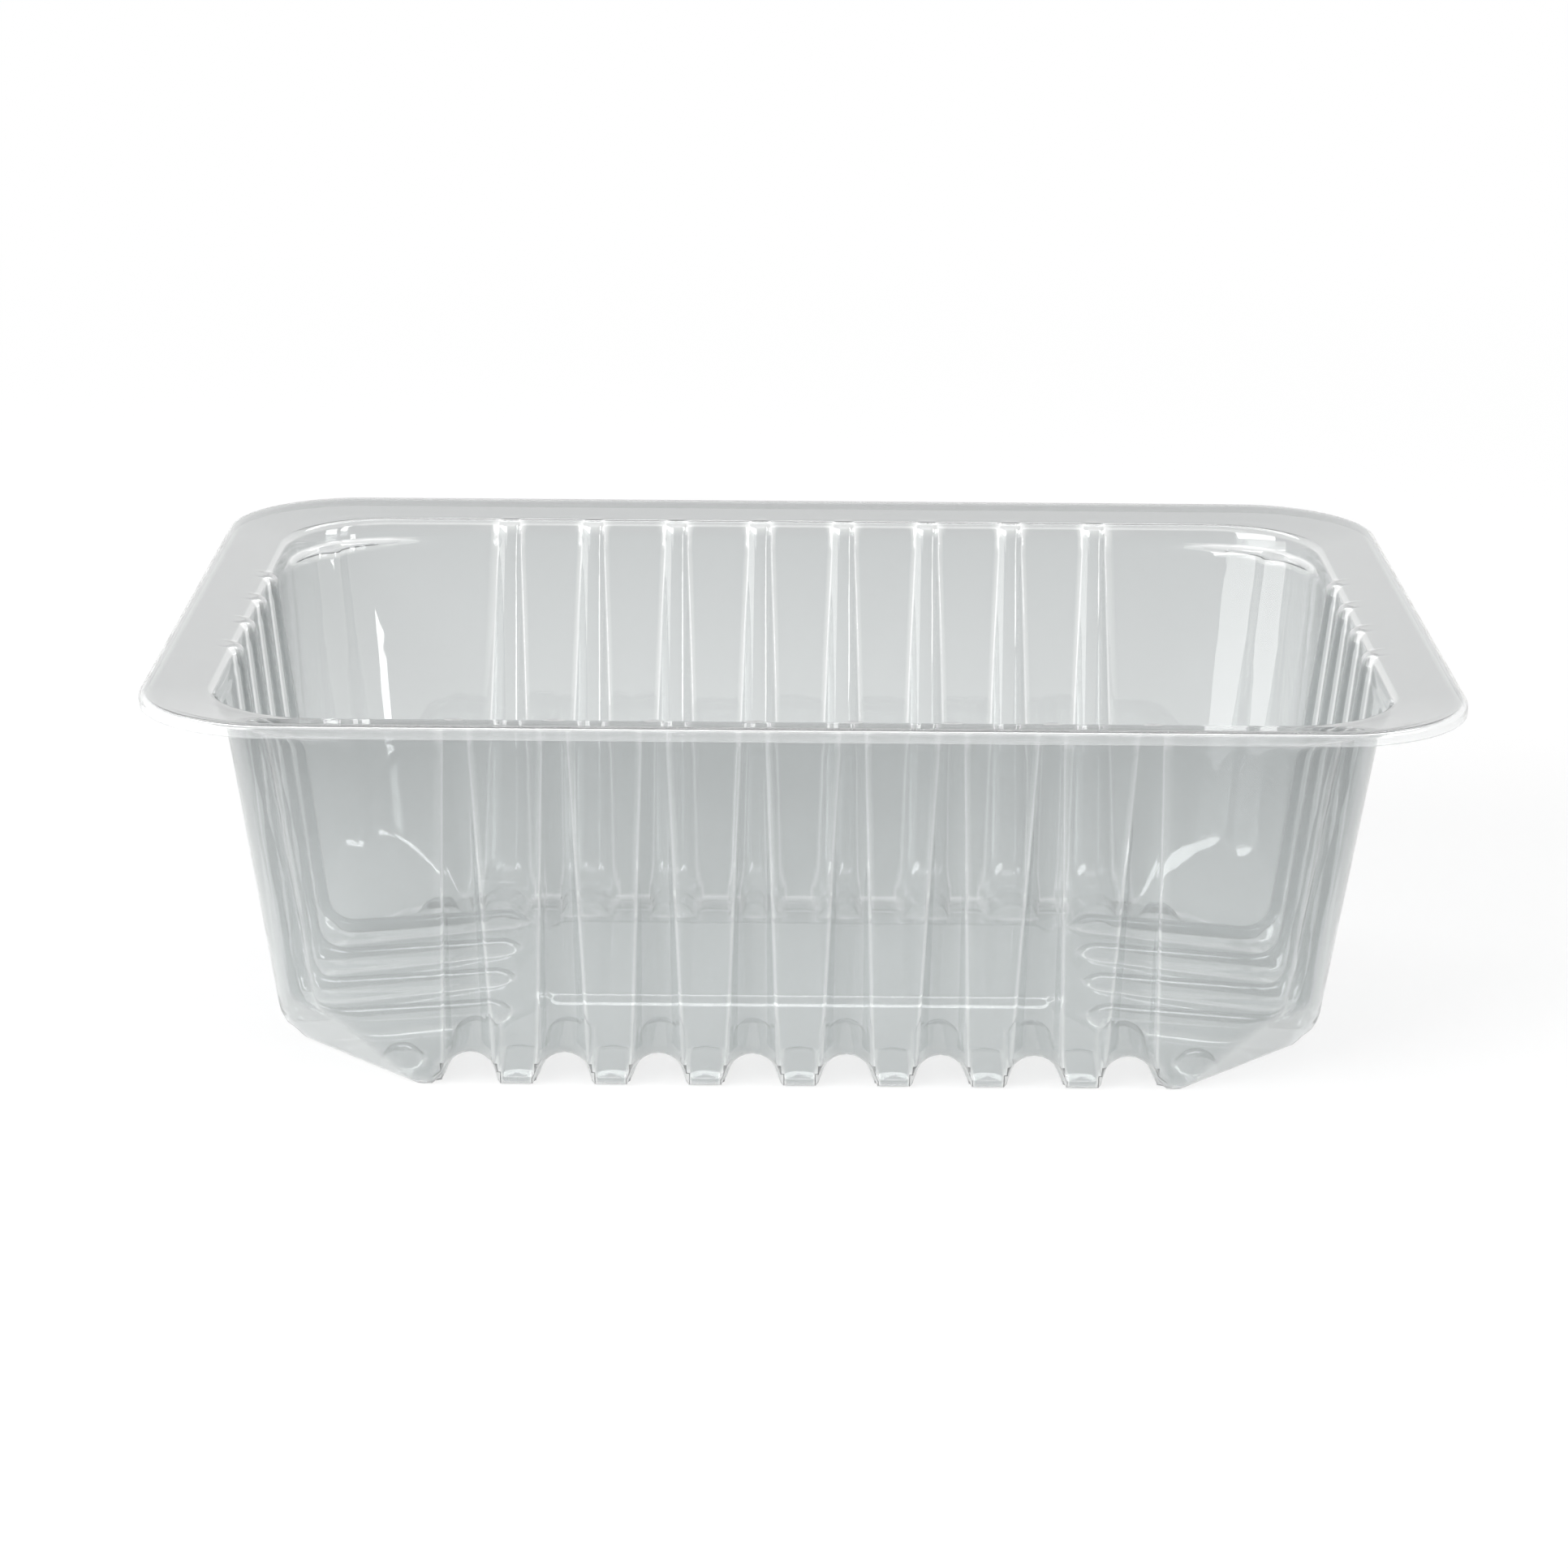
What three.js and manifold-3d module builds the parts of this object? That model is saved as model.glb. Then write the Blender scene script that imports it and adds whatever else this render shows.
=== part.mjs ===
// Clear thermoformed food tray: one sheet of plastic with a sealing flange, drafted walls, tapered
// flutes that run down the walls and turn onto the floor as ribs, and a raised floor panel.
// Millimetres, +Z up. The origin is on the table under the middle of the tray, +X along its length.
import * as THREE from 'three';
import { mergeVertices } from 'three/addons/utils/BufferGeometryUtils.js';
import Module from 'manifold-3d';

const wasm = await Module();
wasm.setup();

// Overall size, over the flange
const LENGTH = 187;
const WIDTH = 137;
const HEIGHT = 62.2;
const SHEET = 0.45;

// Flange: rises a little outward, then its edge turns down as a short lip
const FLANGE_WIDTH = 9.5;
const FLANGE_RISE = 1.4;
const FLANGE_CORNER_RADIUS = 20;
const LIP_DROP = 1.8;
const LIP_BEND = 0.9;

// Mouth and walls
const MOUTH_CORNER_RADIUS = 16.5;
const RIM_BEND = 1.2;
const BASE_LENGTH = 155.6;
const BASE_WIDTH = 85.4;
const WALL_CORNER_RADIUS = 22;
const LEDGE_DROP = 3.3;
const FACET_HEIGHT = 12;

// Floor: a flat standing margin, a slope up to the panel, and the panel with its bevelled step
const MARGIN = 2.3;
const PANEL_LENGTH = 80;
const PANEL_WIDTH = 34.2;
const PANEL_CORNER = 3;
const PANEL_HEIGHT = 4.8;
const PANEL_STEP = 0.8;
const PANEL_BEVEL = 1.5;

// Flutes of the long and the short walls: half-round grooves seen from outside. Their axis lies
// outside the wall, and turns at the foot onto the floor, where it climbs to the end of the rib.
const FLUTE_PITCH = 13.84;
const LONG_FLUTE = {
  count: 8,
  footRadius: 3.8,
  footOffset: 1.0,
  rimRadius: 2.4,
  rimOffset: 1.8,
  ribLength: 15.5,
  ribEndHeight: 0.9,
};
const SHORT_FLUTE = {
  count: 4,
  footRadius: 3.5,
  footOffset: 0.8,
  rimRadius: 2.6,
  rimOffset: 1.4,
  ribLength: 31,
  ribEndHeight: 1.6,
};

// Flute down the middle of each rounded corner, from the ledge to the facet
const CORNER_FLUTE_RADIUS = 2.2;
const CORNER_FLUTE_OFFSET = 1.0;

// Small raised pads between the ribs of the long sides, and a raised button in each floor corner
const PAD_WIDTH = 4.2;
const PAD_LENGTH = 8.6;
const PAD_CORNER = 1.2;
const PAD_RISE = 0.5;
const PAD_EDGE_GAP = 0.6;
const BUTTON_RADIUS = 3.2;
const BUTTON_SINK = 0.4;
const BUTTON_FACET_GAP = 1;
const BUTTON_SHIFT = 6.8;

// Facets of round forms
const CORNER_STEPS = 6;
const BEND_STEPS = 3;
const FLUTE_SIDES = 12;
const END_STEPS = 3;
const PAD_STEPS = 1;

// How far a cutting form reaches past the face that it cuts
const REACH = 6;

const MOUTH_LENGTH = LENGTH - 2 * FLANGE_WIDTH;
const MOUTH_WIDTH = WIDTH - 2 * FLANGE_WIDTH;
const RIM_HEIGHT = HEIGHT - FLANGE_RISE;
const LEDGE_HEIGHT = RIM_HEIGHT - LEDGE_DROP;
const QUARTER_TURN = Math.PI / 2;
const SIGNS = [-1, 1];
const UP = new THREE.Vector3(0, 0, 1);

// Turns a closed geometry into a solid that can be joined and cut
function solid(geometry) {
  geometry.deleteAttribute('normal');
  geometry.deleteAttribute('uv');
  const merged = mergeVertices(geometry, 1e-4);
  const mesh = new wasm.Mesh({
    numProp: 3,
    vertProperties: new Float32Array(merged.attributes.position.array),
    triVerts: new Uint32Array(merged.index.array),
  });
  return new wasm.Manifold(mesh);
}

function joined(solids) {
  return solids.reduce((whole, next) => whole.add(next));
}

// Rectangle with round corners, as one anticlockwise ring of points
function roundedRing(length, width, radius, z) {
  const points = [];
  for (let quarter = 0; quarter < 4; quarter += 1) {
    const signX = quarter === 0 || quarter === 3 ? 1 : -1;
    const signY = quarter < 2 ? 1 : -1;
    const start = quarter * QUARTER_TURN;
    const centreX = signX * (length / 2 - radius);
    const centreY = signY * (width / 2 - radius);
    const arc = new THREE.EllipseCurve(centreX, centreY, radius, radius, start, start + QUARTER_TURN);
    arc.getPoints(CORNER_STEPS).forEach((point) => points.push(new THREE.Vector3(point.x, point.y, z)));
  }
  return points;
}

// Rectangle with cut corners, as one anticlockwise ring of points
function cutRing(length, width, cut, z) {
  const points = [];
  for (let quarter = 0; quarter < 4; quarter += 1) {
    const signX = quarter === 0 || quarter === 3 ? 1 : -1;
    const signY = quarter < 2 ? 1 : -1;
    const onEnd = new THREE.Vector3((signX * length) / 2, signY * (width / 2 - cut), z);
    const onSide = new THREE.Vector3(signX * (length / 2 - cut), (signY * width) / 2, z);
    points.push(...(quarter % 2 === 0 ? [onEnd, onSide] : [onSide, onEnd]));
  }
  return points;
}

// Skin between rings of equal count that run anticlockwise and climb
function skin(rings, endless) {
  const count = rings[0].length;
  const bands = endless ? rings.length : rings.length - 1;
  const indices = [];
  for (let ring = 0; ring < bands; ring += 1) {
    const above = (ring + 1) % rings.length;
    for (let point = 0; point < count; point += 1) {
      const next = (point + 1) % count;
      const a = ring * count + point;
      const b = ring * count + next;
      const c = above * count + next;
      const d = above * count + point;
      indices.push(a, b, c, a, c, d);
    }
  }
  return indices;
}

function ringSolid(rings, indices) {
  const geometry = new THREE.BufferGeometry().setFromPoints(rings.flat());
  geometry.setIndex(indices);
  return solid(geometry);
}

// Solid through a stack of rings that bulge outward all round, closed by a flat cap at each end
function loft(rings) {
  const count = rings[0].length;
  const last = (rings.length - 1) * count;
  const indices = skin(rings, false);
  for (let point = 1; point < count - 1; point += 1) {
    indices.push(0, point + 1, point);
    indices.push(last, last + point, last + point + 1);
  }
  return ringSolid(rings, indices);
}

// Round bar along a path that lies in a plane square to across. Its rings lie in the mitre planes.
function sweep(path, radii, across) {
  const sides = path.slice(1).map((point, index) => {
    const along = point.clone().sub(path[index]).normalize();
    return new THREE.Vector3().crossVectors(across, along);
  });
  const rings = path.map((centre, index) => {
    const before = sides[Math.max(index - 1, 0)];
    const after = sides[Math.min(index, sides.length - 1)];
    const mitre = before.clone().add(after).divideScalar(1 + before.dot(after));
    return Array.from({ length: FLUTE_SIDES }, (_, side) => {
      const turn = ((side + 0.5) / FLUTE_SIDES) * 4 * QUARTER_TURN;
      const point = centre.clone().addScaledVector(mitre, radii[index] * Math.cos(turn));
      return point.addScaledVector(across, radii[index] * Math.sin(turn));
    });
  });
  return loft(rings);
}

// Size of the wall outline at a height: a straight draft from the base outline to the mouth outline
function wallSize(base, mouth, height) {
  return base + ((mouth - base) * height) / RIM_HEIGHT;
}

// The functions below make the space inside one face of the sheet. An inset of 0 gives its outer
// face and an inset of SHEET its inner face, and the sheet is what lies between the two.

// Walls up to the ledge with wide corners, then up to the rim with tighter ones and the rim bend
function walls(inset) {
  const ringAt = (height, radius, flare) => {
    const grow = flare - inset;
    const length = wallSize(BASE_LENGTH, MOUTH_LENGTH, height) + 2 * grow;
    const width = wallSize(BASE_WIDTH, MOUTH_WIDTH, height) + 2 * grow;
    return roundedRing(length, width, radius + grow, height);
  };
  const ledge = LEDGE_HEIGHT - SHEET + inset;
  const below = loft([ringAt(inset, WALL_CORNER_RADIUS, 0), ringAt(ledge, WALL_CORNER_RADIUS, 0)]);
  const rings = [ringAt(ledge, MOUTH_CORNER_RADIUS, 0)];
  const bend = RIM_BEND - SHEET + inset;
  for (let step = 0; step <= BEND_STEPS; step += 1) {
    const turn = (step / BEND_STEPS) * QUARTER_TURN;
    const height = RIM_HEIGHT - RIM_BEND + bend * Math.sin(turn);
    rings.push(ringAt(height, MOUTH_CORNER_RADIUS, bend * (1 - Math.cos(turn))));
  }
  // The outer face ends inside the flange, and the inner face runs out of the mouth
  const top = inset > 0 ? REACH : -SHEET / 2;
  rings.push(rings.at(-1).map((point) => new THREE.Vector3(point.x, point.y, RIM_HEIGHT + top)));
  return below.add(loft(rings));
}

// Blocks that cut a facet off each lower corner. It stands on the chord of the rounded corner and
// leans out to the middle of that corner at the facet height.
function cornerFacets(inset) {
  const sagitta = WALL_CORNER_RADIUS * (1 - Math.SQRT1_2);
  const growth = wallSize(BASE_LENGTH, MOUTH_LENGTH, FACET_HEIGHT) - BASE_LENGTH
    + wallSize(BASE_WIDTH, MOUTH_WIDTH, FACET_HEIGHT) - BASE_WIDTH;
  const lean = Math.atan2(sagitta + (growth / 2) * Math.SQRT1_2, FACET_HEIGHT);
  const size = 4 * WALL_CORNER_RADIUS;
  const cuts = [];
  for (const signX of SIGNS) {
    for (const signY of SIGNS) {
      const geometry = new THREE.BoxGeometry(size, size, size);
      geometry.translate(size / 2 - inset, 0, 0);
      geometry.rotateY(lean);
      geometry.rotateZ(Math.atan2(signY, signX));
      const footX = signX * (BASE_LENGTH - WALL_CORNER_RADIUS) / 2;
      const footY = signY * (BASE_WIDTH - WALL_CORNER_RADIUS) / 2;
      geometry.translate(footX, footY, 0);
      cuts.push(solid(geometry));
    }
  }
  return joined(cuts);
}

// Rise of the floor inside the standing margin: four slopes with cut hips, and the panel on top
function raisedFloor(inset) {
  const baseCut = WALL_CORNER_RADIUS - MARGIN * (2 - Math.SQRT2);
  const bevelCut = PANEL_CORNER + PANEL_BEVEL * (2 - Math.SQRT2);
  const footLength = BASE_LENGTH - 2 * MARGIN;
  const footWidth = BASE_WIDTH - 2 * MARGIN;
  const bevelLength = PANEL_LENGTH + 2 * PANEL_BEVEL;
  const bevelWidth = PANEL_WIDTH + 2 * PANEL_BEVEL;
  return loft([
    cutRing(footLength, footWidth, baseCut, -REACH),
    cutRing(footLength, footWidth, baseCut, inset),
    cutRing(bevelLength, bevelWidth, bevelCut, PANEL_HEIGHT - PANEL_STEP + inset),
    cutRing(PANEL_LENGTH, PANEL_WIDTH, PANEL_CORNER, PANEL_HEIGHT + inset),
  ]);
}

// One flute: down the wall, round the foot and along the floor to a round end. The wall faces -Y and
// stands at y = -baseHalf on the table and y = -mouthHalf at the rim. turn carries it to its own wall.
function flute(shape, baseHalf, mouthHalf, along, turn, inset) {
  const foot = new THREE.Vector3(along, -baseHalf - shape.footOffset, -shape.footOffset);
  const rim = new THREE.Vector3(along, -mouthHalf - shape.rimOffset, RIM_HEIGHT);
  const end = new THREE.Vector3(along, shape.ribLength - baseHalf, shape.ribEndHeight);
  const past = 1 + REACH / RIM_HEIGHT;
  const top = foot.clone().lerp(rim, past);
  const topRadius = THREE.MathUtils.lerp(shape.footRadius, shape.rimRadius, past) + inset;
  const footRadius = shape.footRadius + inset;
  const onward = end.clone().sub(foot).normalize();
  const path = [top, foot];
  const radii = [topRadius, footRadius];
  for (let step = 0; step < END_STEPS; step += 1) {
    const round = (step / END_STEPS) * QUARTER_TURN;
    path.push(end.clone().addScaledVector(onward, footRadius * Math.sin(round)));
    radii.push(footRadius * Math.cos(round));
  }
  const across = new THREE.Vector3(1, 0, 0);
  [...path, across].forEach((vector) => vector.applyAxisAngle(UP, turn));
  return sweep(path, radii, across);
}

function wallFlutes(inset) {
  const sides = [
    { shape: LONG_FLUTE, base: BASE_WIDTH, mouth: MOUTH_WIDTH, turn: 0 },
    { shape: SHORT_FLUTE, base: BASE_LENGTH, mouth: MOUTH_LENGTH, turn: QUARTER_TURN },
  ];
  const flutes = [];
  for (const { shape, base, mouth, turn } of sides) {
    for (let index = 0; index < shape.count; index += 1) {
      const along = (index - (shape.count - 1) / 2) * FLUTE_PITCH;
      for (const half of [0, Math.PI]) {
        flutes.push(flute(shape, base / 2, mouth / 2, along, turn + half, inset));
      }
    }
  }
  return joined(flutes);
}

// Flute down the middle of each rounded corner, closed above by the ledge and run out on the facet
function cornerFlutes(inset) {
  const axisAt = (height, signX, signY) => {
    const back = WALL_CORNER_RADIUS - (WALL_CORNER_RADIUS + CORNER_FLUTE_OFFSET) * Math.SQRT1_2;
    const x = wallSize(BASE_LENGTH, MOUTH_LENGTH, height) / 2 - back;
    const y = wallSize(BASE_WIDTH, MOUTH_WIDTH, height) / 2 - back;
    return new THREE.Vector3(signX * x, signY * y, height);
  };
  const radius = CORNER_FLUTE_RADIUS + inset;
  const flutes = [];
  for (const signX of SIGNS) {
    for (const signY of SIGNS) {
      const from = axisAt(FACET_HEIGHT - REACH, signX, signY);
      const to = axisAt(LEDGE_HEIGHT - SHEET + inset, signX, signY);
      const across = to.clone().sub(from).cross(UP).normalize();
      flutes.push(sweep([from, to], [radius, radius], across));
    }
  }
  return joined(flutes);
}

// Rounded pads on the sloping lands between the ribs of the long sides
function landPads(inset) {
  const footY = BASE_WIDTH / 2 - MARGIN;
  const slope = Math.atan2(PANEL_HEIGHT - PANEL_STEP, footY - PANEL_WIDTH / 2 - PANEL_BEVEL);
  const outline = roundedPad(PAD_WIDTH + 2 * inset, PAD_LENGTH + 2 * inset, PAD_CORNER + inset);
  const depth = REACH + PAD_RISE + inset;
  const settings = { depth, bevelEnabled: false, curveSegments: PAD_STEPS };
  const pads = [];
  for (let index = 1; index < LONG_FLUTE.count; index += 1) {
    for (const half of [0, Math.PI]) {
      const geometry = new THREE.ExtrudeGeometry(outline, settings);
      geometry.translate(0, PAD_EDGE_GAP + PAD_LENGTH / 2, -REACH);
      geometry.rotateX(slope);
      geometry.translate((index - LONG_FLUTE.count / 2) * FLUTE_PITCH, -footY, 0);
      geometry.rotateZ(half);
      pads.push(solid(geometry));
    }
  }
  return joined(pads);
}

function roundedPad(width, length, radius) {
  const right = width / 2 - radius;
  const back = length / 2 - radius;
  const shape = new THREE.Shape();
  shape.absarc(right, back, radius, 0, QUARTER_TURN);
  shape.absarc(-right, back, radius, QUARTER_TURN, 2 * QUARTER_TURN);
  shape.absarc(-right, -back, radius, 2 * QUARTER_TURN, 3 * QUARTER_TURN);
  shape.absarc(right, -back, radius, 3 * QUARTER_TURN, 4 * QUARTER_TURN);
  return shape;
}

// Round buttons behind the foot of each facet, shifted along it towards the long side
function cornerButtons(inset) {
  const behind = (BUTTON_FACET_GAP + BUTTON_RADIUS) * Math.SQRT1_2;
  const shift = BUTTON_SHIFT * Math.SQRT1_2;
  const x = (BASE_LENGTH - WALL_CORNER_RADIUS) / 2 - behind - shift;
  const y = (BASE_WIDTH - WALL_CORNER_RADIUS) / 2 - behind + shift;
  const buttons = [];
  for (const signX of SIGNS) {
    for (const signY of SIGNS) {
      const geometry = new THREE.SphereGeometry(BUTTON_RADIUS + inset, FLUTE_SIDES, FLUTE_SIDES / 2);
      geometry.rotateX(QUARTER_TURN);
      geometry.translate(signX * x, signY * y, -BUTTON_SINK);
      buttons.push(solid(geometry));
    }
  }
  return joined(buttons);
}

// Everything that is pushed inward is cut from the space between the walls
function drawnSpace(inset) {
  const pushedIn = [cornerFacets, raisedFloor, wallFlutes, cornerFlutes, landPads, cornerButtons];
  return pushedIn.reduce((space, form) => space.subtract(form(inset)), walls(inset));
}

// Flange with its lip, as an endless band: up the lip, in over the top, and back out underneath.
// It reaches in over the heads of the flutes, and the inner face trims it there.
function flange() {
  const longDepth = LONG_FLUTE.rimRadius - LONG_FLUTE.rimOffset;
  const shortDepth = SHORT_FLUTE.rimRadius - SHORT_FLUTE.rimOffset;
  const overlap = Math.max(longDepth, shortDepth) + 2 * SHEET;
  const ringAt = (out, height) => {
    const share = Math.max(out, 0) / FLANGE_WIDTH;
    const radius = THREE.MathUtils.lerp(MOUTH_CORNER_RADIUS, FLANGE_CORNER_RADIUS, share) + Math.min(out, 0);
    return roundedRing(MOUTH_LENGTH + 2 * out, MOUTH_WIDTH + 2 * out, radius, height);
  };
  const edge = (radius, turn) => ringAt(
    FLANGE_WIDTH - LIP_BEND + radius * Math.cos(turn),
    HEIGHT - LIP_BEND + radius * Math.sin(turn),
  );
  const turns = Array.from({ length: BEND_STEPS + 1 }, (_, step) => (step / BEND_STEPS) * QUARTER_TURN);
  const rings = [
    ringAt(FLANGE_WIDTH, HEIGHT - LIP_DROP),
    ...turns.map((turn) => edge(LIP_BEND, turn)),
    ringAt(RIM_BEND, RIM_HEIGHT),
    ringAt(-overlap, RIM_HEIGHT),
    ringAt(-overlap, RIM_HEIGHT - SHEET),
    ringAt(RIM_BEND, RIM_HEIGHT - SHEET),
    ...turns.reverse().map((turn) => edge(LIP_BEND - SHEET, turn)),
    ringAt(FLANGE_WIDTH - SHEET, HEIGHT - LIP_DROP),
  ];
  return ringSolid(rings, skin(rings, true));
}

function trayGeometry() {
  const sheet = drawnSpace(0).add(flange()).subtract(drawnSpace(SHEET));
  const mesh = sheet.getMesh();
  const geometry = new THREE.BufferGeometry();
  geometry.setAttribute('position', new THREE.BufferAttribute(new Float32Array(mesh.vertProperties), 3));
  geometry.setIndex(new THREE.BufferAttribute(new Uint32Array(mesh.triVerts), 1));
  geometry.computeVertexNormals();
  return geometry;
}

const clearPlastic = new THREE.MeshStandardMaterial({
  color: 0xc7caca,
  roughness: 0.08,
  metalness: 0,
  transparent: true,
  opacity: 0.35,
});

const trayBody = new THREE.Mesh(trayGeometry(), clearPlastic);
trayBody.name = 'tray_body';

const tray = new THREE.Group();
tray.add(trayBody);

export default tray;
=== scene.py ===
"""Looks of a clear thermoformed food tray, modelled round its packed construction frame.

The real tray is one flat plastic sheet drawn down onto a mould. The sheet here is made the same way:
one quarter of it is laid out as two grids, every vertex is drawn along its own ray onto the form of
the mould, and the quarter is mirrored and given the sheet's thickness.
"""

import math

import bpy
import numpy as np
from bpy.props import FloatProperty, FloatVectorProperty, IntProperty, PointerProperty
from bpy.types import Operator, Panel, PropertyGroup
from mathutils import Matrix, Vector


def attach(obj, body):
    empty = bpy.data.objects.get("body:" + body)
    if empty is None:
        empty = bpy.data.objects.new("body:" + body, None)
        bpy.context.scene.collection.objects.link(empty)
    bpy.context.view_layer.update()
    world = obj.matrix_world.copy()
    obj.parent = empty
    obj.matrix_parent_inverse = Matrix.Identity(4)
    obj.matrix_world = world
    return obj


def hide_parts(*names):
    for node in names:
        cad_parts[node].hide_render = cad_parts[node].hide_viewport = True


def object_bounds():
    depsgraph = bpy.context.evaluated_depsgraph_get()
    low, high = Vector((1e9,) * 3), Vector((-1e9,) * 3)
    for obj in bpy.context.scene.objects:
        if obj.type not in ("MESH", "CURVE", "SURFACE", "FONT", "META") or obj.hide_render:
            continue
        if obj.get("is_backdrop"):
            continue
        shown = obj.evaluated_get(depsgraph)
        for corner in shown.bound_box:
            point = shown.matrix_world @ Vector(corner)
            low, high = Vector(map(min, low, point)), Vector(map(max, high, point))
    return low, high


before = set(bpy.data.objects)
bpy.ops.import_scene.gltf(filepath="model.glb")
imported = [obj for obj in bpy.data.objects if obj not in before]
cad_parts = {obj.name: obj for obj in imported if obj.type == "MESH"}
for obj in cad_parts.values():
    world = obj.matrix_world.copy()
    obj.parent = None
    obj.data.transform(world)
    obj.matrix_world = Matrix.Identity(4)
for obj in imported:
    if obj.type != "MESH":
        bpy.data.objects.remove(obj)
CAD_LOW, CAD_HIGH = (Vector(corner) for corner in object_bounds())

bl_info = {
    "name": "Clear food tray",
    "version": (1, 0, 0),
    "blender": (4, 5, 0),
    "location": "View3D > Sidebar > Tray",
    "description": "Builds a clear thermoformed food tray and a plain stage for it",
    "category": "Add Mesh",
}

MM = 0.001
MERGE_DISTANCE = 0.002 * MM
SHORTEST_EDGE = 0.05 * MM
SMOOTH_ANGLE = math.radians(55)
DIAGONAL = math.sqrt(0.5)

# Lines of the sheet's grid, as shares of half a flute's width and of half a land's width
FLUTE_LINES = (-1.12, -1.0, -0.9, -0.76, -0.55, -0.3, 0.0, 0.3, 0.55, 0.76, 0.9, 1.0, 1.12)
LAND_LINES = (-0.84, -0.75, -0.66, 0.0, 0.66, 0.75, 0.84)
CORNER_STEPS = 12
CORNER_STRAIGHT_STEPS = 4

# Rows of the sheet's grid, from the lip in over the rim and down to the floor
LIP_ANGLES = (0, 22, 45, 68, 90)
FLANGE_SHARES = (0.15, 0.5, 0.8, 0.92)
RIM_ANGLES = (90, 105, 120, 135, 150, 165, 180)
LEDGE_ROWS = (1.3, 0.8, 0.4, 0.1, -0.2, -0.6, -1.2, -2.2)
WALL_ROWS = 6
FACET_ROWS = (3.0, 2.0, 1.0, 0.0, -1.0, -2.0, -3.0)
BASE_ANGLES = (6, 16, 26, 34, 40, 44, 47, 50, 53, 55.4, 56.0, 56.5, 57.2, 60, 65, 71, 78, 84, 90)

# Rows of the floor out to the fan, as shares, closer at the pads' ends: one for each of the corner's steps
PAD_ROWS = (0.1, 0.2, 0.3, 0.4, 0.5, 0.565, 0.6, 0.635, 0.7, 0.8, 0.9, 1.0)

# How the rays that draw the sheet down start and are followed
FAN_HEIGHT = 8.0 * MM
FAN_INSET = 8.0 * MM
FAN_CORNER_INSET = 5.2 * MM
FAN_DIAGONAL_INSET = 4.3 * MM
CORNER_LINE_GAP = 1.4 * MM
RIM_START = 5.0 * MM
WALL_START = 7.0 * MM
WALL_REACH = 17.0 * MM
FLOOR_REACH = FAN_HEIGHT + 1.0 * MM
MARCH_STEPS = 48
HALVINGS = 14

# Detail of the noise in the sheet, and its levels from which haze sets in and is full
WAVE_DETAIL = 1.0
HAZE_DETAIL = 3.0
HAZE_LEVELS = (0.35, 0.7)

# Sockets of a Mix node that mixes colours: its other kinds have sockets with the same names
MIX_SHARE, MIX_FIRST, MIX_SECOND, MIX_COLOUR = 0, 6, 7, 2

SENSOR_WIDTH = 36

# Name under which each vertex keeps how tightly the sheet is bent there: the mask of the painted highlight
# along tight bends
BEND_HIGHLIGHT = "bend"


def linear(hex_colour):
    """Turn an sRGB hex colour into linear red, green and blue."""
    shares = [int(hex_colour[i:i + 2], 16) / 255 for i in (0, 2, 4)]
    return tuple(s / 12.92 if s <= 0.04045 else ((s + 0.055) / 1.055) ** 2.4 for s in shares)


def millimetres(name, size, description):
    """A length property with its default given in millimetres."""
    return FloatProperty(name=name, description=description, default=size * MM, unit="LENGTH", precision=5)


def factor(name, share, description):
    """A property that stays between 0 and 1."""
    return FloatProperty(name=name, description=description, default=share, subtype="FACTOR", min=0, max=1)


def srgb(name, hex_colour, description):
    """A colour property with its default given as an sRGB hex colour."""
    return FloatVectorProperty(name=name, description=description, default=linear(hex_colour),
                               subtype="COLOR", size=3, min=0, max=1)


def cad_span(axis):
    """The frame's size along one axis, in millimetres."""
    return (CAD_HIGH[axis] - CAD_LOW[axis]) / MM


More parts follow.
